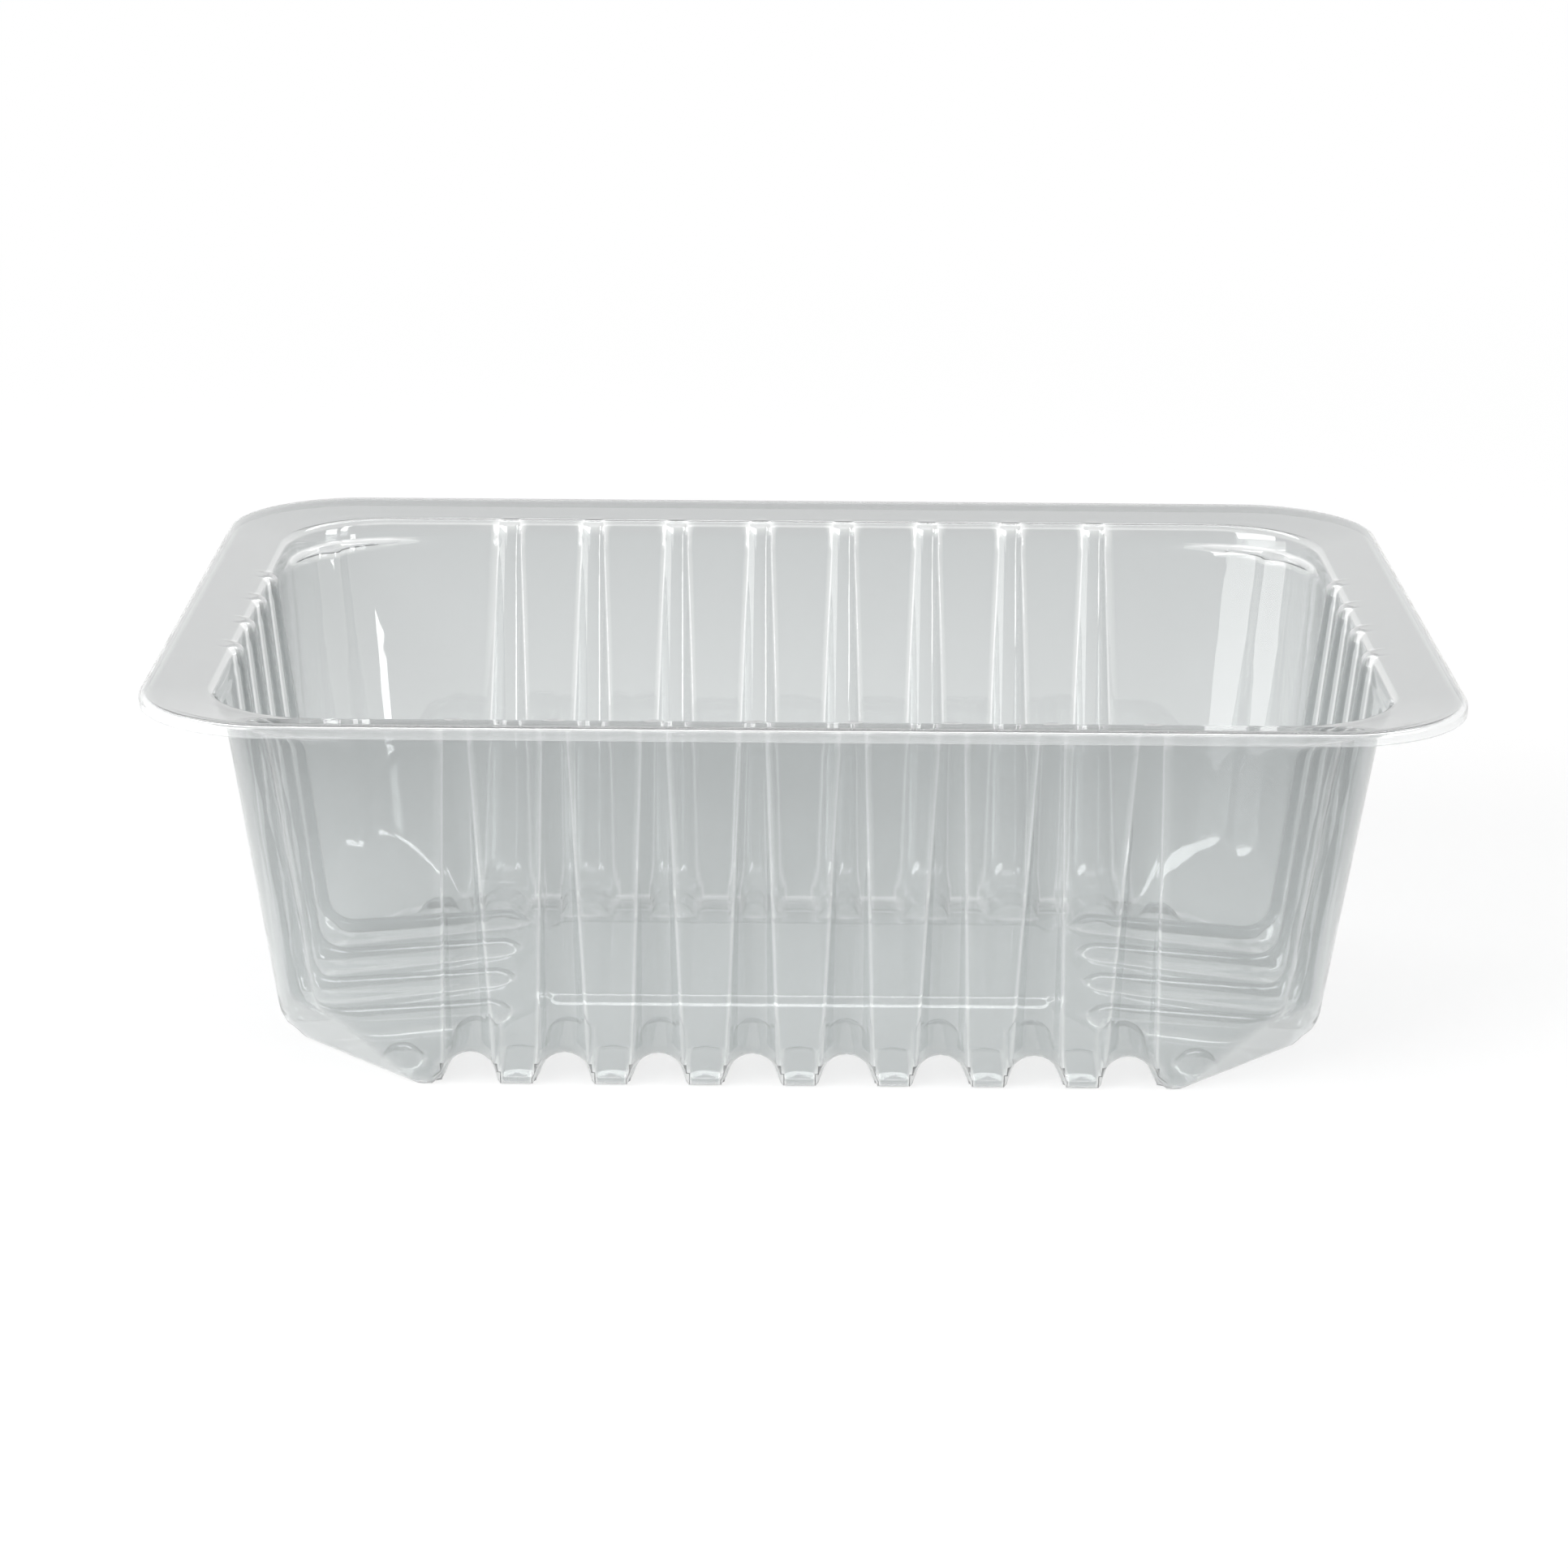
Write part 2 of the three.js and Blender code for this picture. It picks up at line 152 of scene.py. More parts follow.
class TrayShape(PropertyGroup):
    """Sizes of the tray; heights are measured from the table."""

    length: millimetres("Length", cad_span(0), "Over the flange, the long way")
    width: millimetres("Width", cad_span(1), "Over the flange, the short way")
    height: millimetres("Height", cad_span(2), "From the table to the flange's outer edge")
    sheet: millimetres("Sheet", 0.45, "Sheet thickness at the flange, where it is not drawn")
    drawn_share: FloatProperty(name="Drawn share", default=0.5, subtype="FACTOR", min=0.1, max=1.0,
                               description="Share of the sheet's thickness left on the walls and floor")
    thin_depth: millimetres("Thinning depth", 5.0, "Depth below the rim over which the sheet gets thin")

    flange_width: millimetres("Flange width", 9.5, "From the mouth to the outer edge")
    flange_rise: millimetres("Flange rise", 1.4, "How much higher the outer edge is than the rim")
    flange_corner_radius: millimetres("Flange corner", 20, "Outer corner radius in plan")
    lip_drop: millimetres("Lip drop", 1.8, "Depth of the turned-down outer lip")
    lip_bend: millimetres("Lip bend", 0.9, "Outer radius where the lip turns down")
    mouth_corner_radius: millimetres("Mouth corner", 16.5, "Corner radius of the mouth in plan")
    rim_bend: millimetres("Rim bend", 1.2, "Radius where the wall turns out into the flange")

    base_length: millimetres("Base length", 155.6, "The walls' foot, the long way")
    base_width: millimetres("Base width", 85.4, "The walls' foot, the short way")
    wall_corner_radius: millimetres("Wall corner", 22, "Corner radius of the walls below the ledge")
    ledge_drop: millimetres("Ledge drop", 3.3, "Depth of the corner ledges below the rim")
    facet_height: millimetres("Facet height", 12, "Height of the corner facets")
    wall_blend: millimetres("Wall blend", 0.6, "Rounding where the walls meet the floor")
    crease_blend: millimetres("Crease blend", 0.45, "Rounding of the creases round facets and ledges")

    margin: millimetres("Standing margin", 2.3, "Flat strip that the tray stands on")
    panel_length: millimetres("Panel length", 80, "Raised middle panel, the long way")
    panel_width: millimetres("Panel width", 34.2, "Raised middle panel, the short way")
    panel_corner: millimetres("Panel corner", 3, "Cut corner of the panel")
    panel_height: millimetres("Panel height", 4.8, "Top of the panel")
    panel_step: millimetres("Panel step", 0.8, "Height of the panel's own bevel")
    panel_bevel: millimetres("Panel bevel", 1.5, "Width of the panel's own bevel")

    flute_pitch: millimetres("Flute pitch", 13.84, "Distance between neighbouring flutes")
    flute_blend: millimetres("Flute blend", 0.38, "Rounding of the flutes' edges")
    elbow_blend: millimetres("Elbow blend", 4.5, "Rounding where a flute turns onto the floor")
    arch_blend: millimetres("Arch blend", 2.6, "The same at the arch under that turn")
    long_count: IntProperty(name="Long side flutes", default=8, description="Flutes on each long wall")
    long_foot_radius: millimetres("Long foot radius", 3.8, "Flute radius at the foot")
    long_foot_offset: millimetres("Long foot offset", 1.0, "How far the foot's axis is out and down")
    long_rim_radius: millimetres("Long rim radius", 2.4, "Flute radius at the rim")
    long_rim_offset: millimetres("Long rim offset", 1.8, "How far the axis is out at the rim")
    long_rib_length: millimetres("Long rib", 15.5, "Length of the rib on the floor")
    long_rib_height: millimetres("Long rib end", 0.9, "Height of the rib's axis at its end")
    short_count: IntProperty(name="Short side flutes", default=4, description="Flutes on each short wall")
    short_foot_radius: millimetres("Short foot radius", 3.5, "Flute radius at the foot")
    short_foot_offset: millimetres("Short foot offset", 0.8, "How far the foot's axis is out and down")
    short_rim_radius: millimetres("Short rim radius", 2.6, "Flute radius at the rim")
    short_rim_offset: millimetres("Short rim offset", 1.4, "How far the axis is out at the rim")
    short_rib_length: millimetres("Short rib", 31, "Length of the rib on the floor")
    short_rib_height: millimetres("Short rib end", 1.6, "Height of the rib's axis at its end")
    corner_flute_radius: millimetres("Corner flute radius", 2.2, "Radius of the flute in each corner")
    corner_flute_offset: millimetres("Corner flute offset", 1.0, "How far its axis is outside the wall")

    pad_width: millimetres("Pad width", 4.2, "Small raised pads between the ribs")
    pad_length: millimetres("Pad length", 8.6, "Pad length down the floor's slope")
    pad_corner: millimetres("Pad corner", 1.2, "Pad corner radius")
    pad_rise: millimetres("Pad rise", 0.35, "Pad height")
    pad_gap: millimetres("Pad gap", 0.6, "From the standing margin to the pad")
    pad_edge: millimetres("Pad edge", 0.5, "Width of the pad's soft edge")
    button_radius: millimetres("Button radius", 3.2, "Round stacking button in each corner")
    button_sink: millimetres("Button sink", 0.4, "How far the button's centre is below the floor")
    button_gap: millimetres("Button gap", 1, "From the facet's foot to the button")
    button_shift: millimetres("Button shift", 6.8, "How far the button is off the corner's diagonal")


class TrayFinish(PropertyGroup):
    """Finish of the clear sheet."""

    # Painted light: the grey is painted deepest at the flange and palest at the foot, making up for the
    # floor's shadow and the stacked sheets that darken the lower tray
    flange_colour: srgb("Flange colour", "C4C6C6", "Cold grey of the thick, undrawn flange")
    wall_colour: srgb("Wall colour", "CBCECE", "Fainter grey at the top of the walls")
    foot_colour: srgb("Foot colour", "E0E3E3", "Faintest grey where the sheet is drawn thinnest")
    # Painted highlight: tight bends are painted whiter, standing in for the bright lines that the lamps
    # draw along rims, creases and elbows; the slack and tight radii set where it starts and where it is
    # full
    bend_highlight_colour: srgb("Bend colour", "FBFCFC", "Whiter colour where the sheet is bent tightly")
    bend_slack: millimetres("Slack bend", 2.4, "Bend radius from which the sheet keeps its own colour")
    bend_tight: millimetres("Tight bend", 0.8, "Bend radius at which the sheet is fully whitened")
    clarity: factor("Clarity", 0.86, "Share of the light that passes each face unscattered")
    # Heights over which that painted light fades the grey: from the top of the walls down to the foot, and
    # up to the flange
    grey_fade_top: millimetres("Drawn top", 58, "Height of the top of the drawn walls")
    grey_fade_foot: millimetres("Drawn foot", 12, "Height down to which the sheet gets paler")
    undrawn: millimetres("Undrawn height", 60.5, "Height of the flange, where the sheet is not drawn")
    refraction: FloatProperty(name="Refraction", default=1.575, description="Refractive index of PET")
    gloss_roughness: factor("Smoothest", 0.008, "Roughness where the sheet is glossiest")
    haze_roughness: factor("Haziest", 0.03, "Roughness where the mould left a faint haze")
    haze_size: millimetres("Haze size", 3, "Size of the faint patches of haze")
    wave_size: millimetres("Wave size", 9, "Size of the soft waves that drawing leaves in the sheet")
    wave_depth: millimetres("Wave depth", 0.04, "Depth of the soft waves")


class TrayStage(PropertyGroup):
    """Floor, light and camera."""

    floor_size: FloatProperty(name="Floor size", default=8, unit="LENGTH", description="Side of the floor")
    floor_gap: millimetres("Floor gap", 0.05, "Gap that keeps the floor clear of the tray's foot")
    floor_colour: srgb("Floor colour", "F7F7F7", "Pale floor")
    shadow_share: factor("Shadow share", 0.25, "Share of light and shade that the floor shows by the tray")
    shadow_near: FloatProperty(name="Shadow near", default=0.2, unit="LENGTH",
                               description="Distance up to which the floor shows its light and shade")
    shadow_far: FloatProperty(name="Shadow far", default=0.7, unit="LENGTH",
                              description="Distance from which the floor is plain white")
    sky_light: FloatProperty(name="Sky light", default=0.35, min=0,
                             description="Even light from all round")
    lens: FloatProperty(name="Lens", default=94.03, unit="CAMERA",
                        description="Focal length in millimetres")
    camera_place: FloatVectorProperty(name="Camera place", size=3, unit="LENGTH", subtype="TRANSLATION",
                                      default=(-0.002611, -0.603431, 0.219838), precision=5,
                                      description="Camera position fitted to the photo")
    camera_pitch: FloatProperty(name="Camera pitch", default=math.radians(17.174), subtype="ANGLE",
                                description="How far the camera looks down")
    camera_roll: FloatProperty(name="Camera roll", default=math.radians(0.449), subtype="ANGLE",
                               description="How far the camera is turned about its own axis")


def smooth_max(first, second, blend):
    """The larger of two fields, rounded over where they are within the blend of each other."""
    share = np.clip(0.5 + 0.5 * (first - second) / blend, 0, 1)
    return second + (first - second) * share + blend * share * (1 - share)


def smooth_min(first, second, blend):
    """The smaller of two fields, rounded over where they are within the blend of each other."""
    return -smooth_max(-first, -second, blend)


def rounded_box(x, y, half_x, half_y, radius):
    """Distance outside a rounded rectangle, below 0 inside it."""
    over_x, over_y = x - half_x + radius, y - half_y + radius
    outside = np.hypot(np.maximum(over_x, 0), np.maximum(over_y, 0))
    return outside + np.minimum(np.maximum(over_x, over_y), 0) - radius


def between(first, second, share):
    """The value or point at a share of the way from the first to the second."""
    return first + (second - first) * share


def soft_step(value, low, high):
    """0 up to low, 1 from high on, with a soft change between."""
    share = np.clip((value - low) / (high - low), 0, 1)
    return share * share * (3 - 2 * share)


class Flutes:
    """A row of like flutes on one pair of walls: each axis comes down the wall and runs onto the floor."""

    def __init__(self, shape, kind, base, mouth, rim):
        def size(name):
            return getattr(shape, f"{kind}_{name}")

        self.count, self.pitch = size("count"), shape.flute_pitch
        self.foot_radius, self.rim_radius = size("foot_radius"), size("rim_radius")
        self.foot = np.array([base + size("foot_offset"), -size("foot_offset")])
        self.top = np.array([mouth + size("rim_offset"), rim])
        self.end = np.array([base - size("rib_length"), size("rib_height")])
        self.foot_half = math.sqrt(self.foot_radius ** 2 - size("foot_offset") ** 2)
        self.rim_half = math.sqrt(self.rim_radius ** 2 - size("rim_offset") ** 2)
        self.elbow, self.arch = shape.elbow_blend, shape.arch_blend

    def field(self, along, across, z):
        """Distance outside the nearest flute, from places along and across the wall."""
        index = np.clip(np.floor(along / self.pitch), 0, self.count / 2 - 1)
        side = along - (index + 0.5) * self.pitch
        wall, climb = self.from_axis(side, across, z, self.foot, self.top, None)
        wall = wall - between(self.foot_radius, self.rim_radius, climb)
        rib, run = self.from_axis(side, across, z, self.foot, self.end, 1)
        inside = np.minimum(climb * math.dist(self.foot, self.top), run * math.dist(self.foot, self.end))
        blend = between(self.arch, self.elbow, soft_step(inside, 0, self.arch))
        return smooth_min(wall, rib - self.foot_radius, blend)

    @staticmethod
    def from_axis(side, across, z, start, end, last):
        """Distance from an axis that lies square to the wall, and the share along it."""
        run = end - start
        share = np.clip(((across - start[0]) * run[0] + (z - start[1]) * run[1]) / (run @ run), 0, last)
        return np.sqrt(side ** 2 + (across - start[0] - run[0] * share) ** 2
                       + (z - start[1] - run[1] * share) ** 2), share

    def lines(self):
        """Grid lines over half the wall, from its middle out: places at the foot and at the rim."""
        places = []
        for half_width in (self.foot_half, self.rim_half):
            land = self.pitch / 2 - FLUTE_LINES[-1] * half_width
            row = []
            for index in range(self.count // 2):
                row += [index * self.pitch + share * land for share in LAND_LINES if index or share >= 0]
                row += [(index + 0.5) * self.pitch + share * half_width for share in FLUTE_LINES]
            places.append(np.array(row + [row[-1] + CORNER_LINE_GAP]))
        return places


class Mould:
    """The form that the sheet is drawn onto, as a field that is below 0 in the tray's open space and 0 on
    the sheet's outer face. The four quarters are alike, so it is asked about x and y above 0 only."""

    def __init__(self, shape):
        self.shape = shape
        self.mouth = np.array([shape.length, shape.width]) / 2 - shape.flange_width
        self.base = np.array([shape.base_length, shape.base_width]) / 2
        self.rim = shape.height - shape.flange_rise
        self.ledge = self.rim - shape.ledge_drop - shape.sheet
        self.long = Flutes(shape, "long", self.base[1], self.mouth[1], self.rim)
        self.short = Flutes(shape, "short", self.base[0], self.mouth[0], self.rim)
        self.chord = float(np.sum(self.base - shape.wall_corner_radius / 2))
        growth = sum(self.half_sizes(shape.facet_height)) - sum(self.base)
        facet_run = growth * DIAGONAL + shape.wall_corner_radius * (1 - DIAGONAL)
        self.facet_lean = math.atan2(facet_run, shape.facet_height)

    def half_sizes(self, z):
        """Half the length and half the width of the walls at a height."""
        return [between(foot, top, z / self.rim) for foot, top in zip(self.base, self.mouth)]

    def walls(self, x, y, z):
        """Drafted walls, with tighter corners above the ledges."""
        half_x, half_y = self.half_sizes(z)
        crease = self.shape.crease_blend
        wide = rounded_box(x, y, half_x, half_y, self.shape.wall_corner_radius)
        tight = rounded_box(x, y, half_x, half_y, self.shape.mouth_corner_radius)
        return smooth_min(wide, smooth_max(tight, self.ledge - z, crease), crease)

    def facets(self, x, y, z):
        """Flat leaning facet at the foot of each corner."""
        out = (x + y - self.chord) * DIAGONAL
        return out * math.cos(self.facet_lean) - z * math.sin(self.facet_lean)

    def floor_height(self, x, y):
        """Standing margin, hipped slopes, raised panel and small pads."""
        shape = self.shape
        low = shape.panel_height - shape.panel_step
        panel = np.array([shape.panel_length, shape.panel_width]) / 2
        cut = (x + y) * DIAGONAL
        foot_cut = self.chord * DIAGONAL - shape.margin
        panel_cut = (float(np.sum(panel)) - shape.panel_corner) * DIAGONAL
        sides = [(x, self.base[0] - shape.margin, panel[0]), (y, self.base[1] - shape.margin, panel[1]),
                 (cut, foot_cut, panel_cut)]
        height = np.full_like(x, shape.panel_height)
        for place, foot, edge in sides:
            slope = low * (foot - place) / (foot - edge - shape.panel_bevel)
            bevel = low + shape.panel_step * (edge + shape.panel_bevel - place) / shape.panel_bevel
            rise = smooth_max(slope, bevel, shape.crease_blend / 2)
            height = smooth_min(height, rise, shape.crease_blend / 2)
        height = smooth_max(height, np.zeros_like(height), shape.crease_blend)
        return height + self.pads(x, y)

    def pads(self, x, y):
        """Height of the small rounded pads between the ribs of the long walls."""
        shape = self.shape
        index = np.clip(np.round(x / shape.flute_pitch), 0, self.long.count / 2 - 1)
        centre_y = self.base[1] - shape.margin - shape.pad_gap - shape.pad_length / 2
        edge = rounded_box(np.abs(x - index * shape.flute_pitch), np.abs(y - centre_y),
                           shape.pad_width / 2, shape.pad_length / 2, shape.pad_corner)
        return shape.pad_rise * soft_step(-edge, -shape.pad_edge / 2, shape.pad_edge / 2)

    def corner_flute(self, x, y, z):
        """Distance outside the flute that climbs each corner from the facet to the ledge."""
        shape = self.shape
        back = shape.wall_corner_radius * (1 - DIAGONAL) - shape.corner_flute_offset * DIAGONAL
        ends = [np.array([*(half - back for half in self.half_sizes(height)), height])
                for height in (0.0, self.ledge)]
        run = ends[1] - ends[0]
        places = np.stack([x, y, z], axis=-1) - ends[0]
        share = places @ run / (run @ run)
        tube = np.linalg.norm(places - share[..., None] * run, axis=-1) - shape.corner_flute_radius
        return smooth_max(tube, z - self.ledge, shape.crease_blend)

    def buttons(self, x, y, z):
        """Distance outside the round button in each corner of the floor."""
        shape = self.shape
        inset = (shape.button_radius + shape.button_gap) * DIAGONAL
        middle = self.base - shape.wall_corner_radius / 2 - inset
        shift = shape.button_shift * DIAGONAL
        centre = (middle[0] - shift, middle[1] + shift, -shape.button_sink)
        away = [place - middle_place for place, middle_place in zip((x, y, z), centre)]
        return np.sqrt(away[0] ** 2 + away[1] ** 2 + away[2] ** 2) - shape.button_radius

    def field(self, places):
        """The whole form at an array of places."""
        shape = self.shape
        x, y, z = places[..., 0], places[..., 1], places[..., 2]
        form = smooth_max(self.walls(x, y, z), self.facets(x, y, z), shape.crease_blend)
        form = smooth_max(form, self.floor_height(x, y) - z, shape.wall_blend)
        form = smooth_max(form, -self.corner_flute(x, y, z), shape.flute_blend)
        form = smooth_max(form, -self.buttons(x, y, z), shape.crease_blend)
        form = smooth_max(form, -self.long.field(x, y, z), shape.flute_blend)
        form = smooth_max(form, -self.short.field(y, x, z), shape.flute_blend)
        return smooth_min(form, self.rim - shape.sheet - z, shape.rim_bend)

    def drawn(self, starts, directions, reach):
        """Follow rays from the open space until they meet the form, and give the places where they do."""
        travel = np.zeros(starts.shape[:-1])
        met = np.zeros(starts.shape[:-1], dtype=bool)
        step = reach / MARCH_STEPS
        if (self.field(starts) >= 0).any():
            raise RuntimeError("a ray of the sheet starts inside the mould")
        for _ in range(MARCH_STEPS):
            open_space = self.field(starts + directions * (travel + step)[..., None]) < 0
            travel = np.where(open_space & ~met, travel + step, travel)
            met |= ~open_space
        if not met.all():
            raise RuntimeError("a ray of the sheet misses the mould")
        low, high = travel, travel + step
        for _ in range(HALVINGS):
            middle = (low + high) / 2
            open_space = self.field(starts + directions * middle[..., None]) < 0
            low, high = np.where(open_space, middle, low), np.where(open_space, high, middle)
        return starts + directions * low[..., None]


def with_height(plan, z):
    """Plan places with one height, as places in space."""
    return np.concatenate([plan, np.full((*plan.shape[:-1], 1), z)], axis=-1)


def joined_steps(points, counts):
    """Even steps along a bent line, with a count of steps for each of its straight runs."""
    runs = [between(np.array(first), np.array(second), np.linspace(0, 1, count + 1)[1:, None])
            for first, second, count in zip(points, points[1:], counts)]
    return np.concatenate([np.array(points[:1]), *runs])


class SheetLayout:
    """Places of one quarter of the sheet: a grid for the floor, and a grid for walls, rim and lip."""

    def __init__(self, mould):
        self.mould, self.shape = mould, mould.shape
        self.long_foot, self.long_rim = mould.long.lines()
        self.short_foot, self.short_rim = mould.short.lines()
        self.place_corner()
        self.place_columns()

    def place_corner(self):
        """Where the fan of rays stands along the floor, on the sides and round the corner."""
        mould = self.mould
        x_end, y_end = self.long_foot[-1], self.short_foot[-1]
        self.fan_y = mould.base[1] - FAN_INSET
        self.fan_x = np.minimum(mould.base[0] - FAN_INSET,
                                mould.chord - self.short_foot - FAN_CORNER_INSET * math.sqrt(2))
        first, last = np.array([x_end, self.fan_y]), np.array([self.fan_x[-1], y_end])
        middle = (first + last) / 2
        middle += (mould.chord - FAN_DIAGONAL_INSET * math.sqrt(2) - middle.sum()) / 2
        self.fan_corner = joined_steps([first, middle, last], [CORNER_STEPS, CORNER_STEPS])

    def place_columns(self):
        """Plan places of every column: at the fan, at the foot, at the mouth and at the outer edge."""
        mould, shape = self.mould, self.shape
        base, mouth, outer = mould.base, mould.mouth, np.array([shape.length, shape.width]) / 2
        x_foot, y_foot = self.long_foot[-1], self.short_foot[-1]
        foot_turn = [mould.chord - base[1], base[1]]
        foot_line = [[x_foot, base[1]], foot_turn, [mould.chord - y_foot, y_foot]]
        foot_runs = np.cumsum([0] + [math.dist(a, b) for a, b in zip(foot_line, foot_line[1:])])
        steps = np.linspace(0, foot_runs[-1], 2 * CORNER_STEPS + 1)
        foot_corner = np.stack([np.interp(steps, foot_runs, [p[axis] for p in foot_line])
                                for axis in (0, 1)], axis=-1)
        turns = np.radians(np.linspace(90, 0, 2 * (CORNER_STEPS - CORNER_STRAIGHT_STEPS) + 1))
        straight = np.full(CORNER_STRAIGHT_STEPS, 1.0)
        turn = np.concatenate([straight * math.pi / 2, turns, straight * 0])
        away = np.stack([np.cos(turn), np.sin(turn)], axis=-1)

        def ring_corner(half, radius):
            centre = half - radius
            arc = centre + radius * np.stack([np.cos(turns), np.sin(turns)], axis=-1)
            lead = joined_steps([[self.long_rim[-1], half[1]], arc[0]], [CORNER_STRAIGHT_STEPS])
            tail = joined_steps([arc[-1], [half[0], self.short_rim[-1]]], [CORNER_STRAIGHT_STEPS])
            return np.concatenate([lead[:-1], arc, tail[1:]])

        def ring(long_places, long_y, corner, short_x, short_places):
            long_side = np.stack([long_places[:-1], np.full(len(long_places) - 1, long_y)], axis=-1)
            short_x = np.broadcast_to(short_x, short_places.shape)
            short_side = np.stack([short_x, short_places], axis=-1)[:-1][::-1]
            return np.concatenate([long_side, corner, short_side])

        foot_x = np.minimum(base[0], mould.chord - self.short_foot)
        self.fan = ring(self.long_foot, self.fan_y, self.fan_corner, self.fan_x, self.short_foot)
        self.foot = ring(self.long_foot, base[1], foot_corner, foot_x, self.short_foot)
        self.mouth = ring(self.long_rim, mouth[1], ring_corner(mouth, shape.mouth_corner_radius),
                          mouth[0], self.short_rim)
        self.edge = ring(self.long_rim, outer[1], ring_corner(outer, shape.flange_corner_radius),
                         outer[0], self.short_rim)
        self.away = np.concatenate([np.tile([0.0, 1.0], (len(self.long_rim) - 1, 1)), away,
                                    np.tile([1.0, 0.0], (len(self.short_rim) - 1, 1))])

    def flange_rows(self):
        """Underside of the lip and flange, from the lip's lower edge in to the rim."""
        shape, mould = self.shape, self.mould
        bend = shape.lip_bend - shape.sheet
        centre = (shape.flange_width - shape.lip_bend, shape.height - shape.lip_bend)
        profile = [(shape.flange_width - shape.sheet, shape.height - shape.lip_drop)]
        profile += [(centre[0] + bend * math.cos(math.radians(angle)),
                     centre[1] + bend * math.sin(math.radians(angle))) for angle in LIP_ANGLES]
        outer, inner = np.array(profile[-1]), np.array([shape.rim_bend, mould.rim - shape.sheet])
        profile += [tuple(between(outer, inner, share)) for share in FLANGE_SHARES]
        return [with_height(between(self.mouth, self.edge, out / shape.flange_width), z)
                for out, z in profile]

    def rim_rows(self):
        """Rows round the bend between flange and wall."""
        shape, mould = self.shape, self.mould
        centre = with_height(self.mouth + self.away * (shape.rim_bend - shape.sheet),
                             mould.rim - shape.rim_bend)
        rows = []
        for angle in RIM_ANGLES:
            out, up = math.cos(math.radians(angle)), math.sin(math.radians(angle))
            way = with_height(self.away * out, up)
            rows.append(mould.drawn(centre + way * RIM_START, -way, RIM_START))
        return rows

    def wall_rows(self):
        """Rows down the walls, closer together at the ledges and the facets."""
        mould, shape = self.mould, self.shape
        ledge_rows = mould.ledge + np.array(LEDGE_ROWS) * MM
        facet_rows = shape.facet_height + np.array(FACET_ROWS) * MM
        plain_rows = np.linspace(ledge_rows[-1], facet_rows[0], WALL_ROWS + 2)[1:-1]
        foot_way = self.foot - self.fan
        foot_way /= np.linalg.norm(foot_way, axis=-1, keepdims=True)
        rows = []
        for z in np.concatenate([ledge_rows, plain_rows, facet_rows]):
            share = (z - FAN_HEIGHT) / (mould.rim - FAN_HEIGHT)
            start = between(self.fan, self.mouth - self.away * WALL_START, share)
            way = between(foot_way, self.away, share)
            way /= np.linalg.norm(way, axis=-1, keepdims=True)
            rows.append(mould.drawn(with_height(start, z), with_height(way, 0.0), WALL_REACH))
        for angle in BASE_ANGLES:
            way = with_height(foot_way * math.cos(math.radians(angle)), -math.sin(math.radians(angle)))
            rows.append(mould.drawn(with_height(self.fan, FAN_HEIGHT), way, WALL_REACH))
        return rows

    def skirt(self):
        """Grid of the lip, flange, rim and walls: a row for each level, a column for each ray."""
        return np.stack(self.flange_rows() + self.rim_rows() + self.wall_rows())

    def floor(self):
        """Grid of the floor, out to the foot of the fan."""
        steps = np.linspace(0, 1, CORNER_STEPS + 1)[1:]
        core_x, core_y = self.long_foot, self.short_foot
        wide, tall = len(core_x), len(core_y)
        plan = np.zeros((tall + CORNER_STEPS, wide + CORNER_STEPS, 2))
        plan[:tall, :wide, 0], plan[:tall, :wide, 1] = np.meshgrid(core_x, core_y)
        plan[tall:, :wide, 0] = core_x
        plan[tall:, :wide, 1] = between(core_y[-1], self.fan_y, np.array(PAD_ROWS))[:, None]
        plan[:tall, wide:, 0] = between(core_x[-1], self.fan_x[:, None], steps)
        plan[:tall, wide:, 1] = core_y[:, None]
        inner = np.array([core_x[-1], core_y[-1]])
        first, middle, last = (self.fan_corner[step] for step in (0, CORNER_STEPS, -1))
        across, up = steps[None, :, None], steps[:, None, None]
        plan[tall:, wide:] = between(between(inner, last, across), between(first, middle, across), up)
        down = with_height(np.zeros_like(plan), -1.0)
        return self.mould.drawn(with_height(plan, FAN_HEIGHT), down, FLOOR_REACH)


def grid_piece(name, places):
    """Add a grid and lay its vertices at an array of rows and columns of places."""
    rows, columns = places.shape[:2]
    bpy.ops.object.select_all(action="DESELECT")
    bpy.ops.mesh.primitive_grid_add(x_subdivisions=columns - 1, y_subdivisions=rows - 1, size=1)
    piece = bpy.context.object
    piece.name = name
    piece.data.vertices.foreach_set("co", places.astype(np.float32).ravel())
    piece.data.update()
    return piece


def apply_modifier(piece, kind, **settings):
    """Add a modifier with its settings and apply it."""
    modifier = piece.modifiers.new(kind.title(), kind)
    for name, value in settings.items():
        setattr(modifier, name, value)
    bpy.ops.object.modifier_apply(modifier=modifier.name)


def keep_below(piece, height):
    """Bring the few vertices that the sheet's thickness lifts past a height back down to it."""
    places = np.empty(len(piece.data.vertices) * 3, dtype=np.float32)
    piece.data.vertices.foreach_get("co", places)
    places[2::3] = np.minimum(places[2::3], height)
    piece.data.vertices.foreach_set("co", places)
    piece.data.update()


